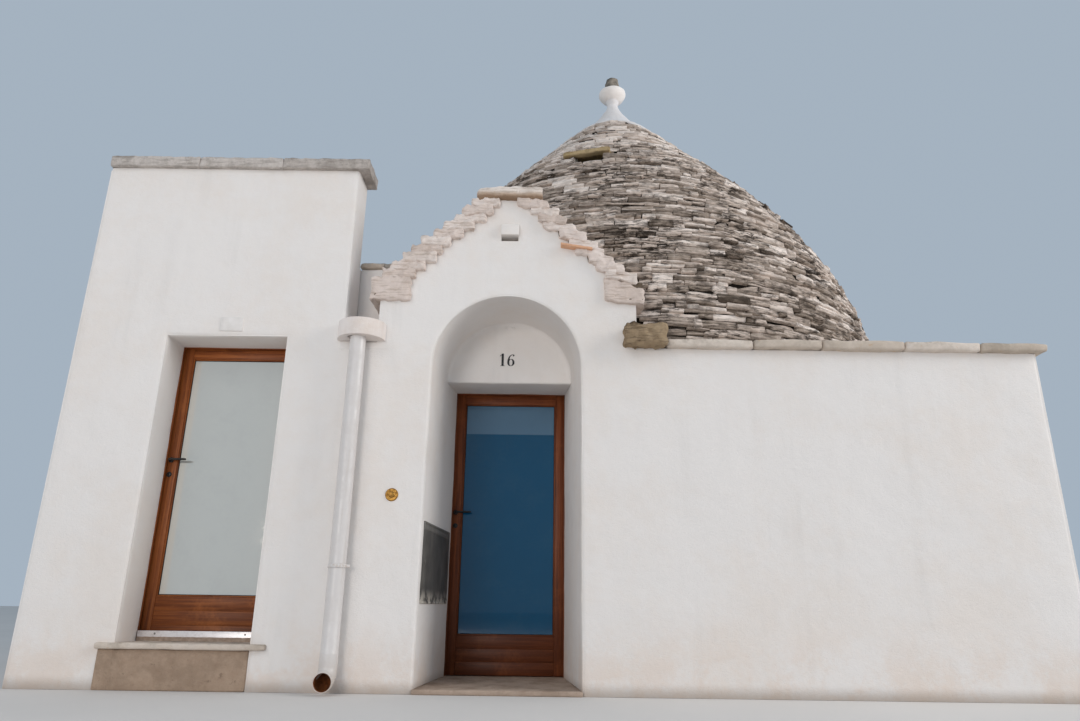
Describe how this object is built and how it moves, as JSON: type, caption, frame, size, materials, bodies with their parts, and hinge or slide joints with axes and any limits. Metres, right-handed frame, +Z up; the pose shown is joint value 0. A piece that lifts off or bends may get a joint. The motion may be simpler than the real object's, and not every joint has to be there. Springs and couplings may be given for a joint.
{
  "type": "trullo house",
  "caption": "Dry-stone trullo with conical roof and pinnacle, whitewashed vaulted entrance gable, glazed doors and a flat-roofed side room.",
  "frame": {"origin": "middle of the entrance at the facade plane, on the ground under the threshold slab", "axes": "+X to the right along the facade, +Y into the house, +Z up"},
  "size_m": [6.66, 5.443, 6.4449],
  "materials": {
    "whitewash": "limewashed plaster, hand trowelled",
    "slab_stone": "weathered pale limestone slabs",
    "cone_stone": "rough dry-laid limestone, weathered grey with dark lichen",
    "pipe_paint": "plastic pipe under white masonry paint",
    "black_metal": "satin black",
    "grey_metal": "weathered grey sheet metal with stained foot",
    "brass": "worn brass",
    "steel": "brushed sill bar",
    "dark_timber": "varnished red-brown hardwood",
    "glass": "clear double glazing",
    "light_timber": "varnished orange-brown hardwood"
  },
  "bodies": {
    "house": {"front_wall_left": "whitewash", "front_wall_right": "whitewash", "door_lintel": "whitewash", "left_wall": "whitewash", "right_wall": "whitewash", "back_wall": "whitewash", "threshold": "slab_stone", "trullo_floor": "slab_stone", "gable_wall": "whitewash", "gable_roof_left": "slab_stone", "gable_roof_right": "slab_stone", "ridge_course": "slab_stone", "gable_vent": "whitewash", "cone_front": "cone_stone", "cone_right": "cone_stone", "cone_back": "cone_stone", "cone_left": "cone_stone", "cone_top_front": "cone_stone", "cone_top_back": "cone_stone", "window_hood": "slab_stone", "cone_cap": "whitewash", "pinnacle_ball": "whitewash", "pinnacle_stub": "cone_stone", "eaves_slabs": "slab_stone", "spout_slab": "slab_stone", "valley_wall": "whitewash", "stone_bowl": "whitewash", "drainpipe": "pipe_paint", "pipe_elbow": "pipe_paint", "pipe_clamp": "black_metal", "meter_door": "grey_metal", "bell_push": "brass", "side_front_left": "whitewash", "side_front_right": "whitewash", "side_lintel": "whitewash", "side_left_wall": "whitewash", "side_right_wall": "whitewash", "side_back_wall": "whitewash", "side_roof": "whitewash", "side_coping": "slab_stone", "side_floor": "slab_stone", "side_step": "slab_stone", "side_riser": "slab_stone", "side_sill_bar": "steel", "door_frame": "dark_timber", "side_door_frame": "light_timber", "hinge_pins": "black_metal"},
    "entrance_door": {"door_leaf": "dark_timber", "door_glass": "glass", "door_handle": "black_metal", "door_hinges": "black_metal"},
    "side_door": {"side_door_leaf": "light_timber", "side_door_glass": "glass", "side_door_handle": "black_metal", "side_door_hinges": "black_metal"}
  },
  "joints": [
    {"name": "entrance_door_hinge", "type": "hinge", "parent": "house", "child": "entrance_door", "pos_m": [0.4285, 1.009, 0.03], "axis": [0, 0, -1], "range_deg": [0, 90]},
    {"name": "side_door_hinge", "type": "hinge", "parent": "house", "child": "side_door", "pos_m": [-1.5215, 0.33, 0.269], "axis": [0, 0, -1], "range_deg": [0, 90]}
  ]
}
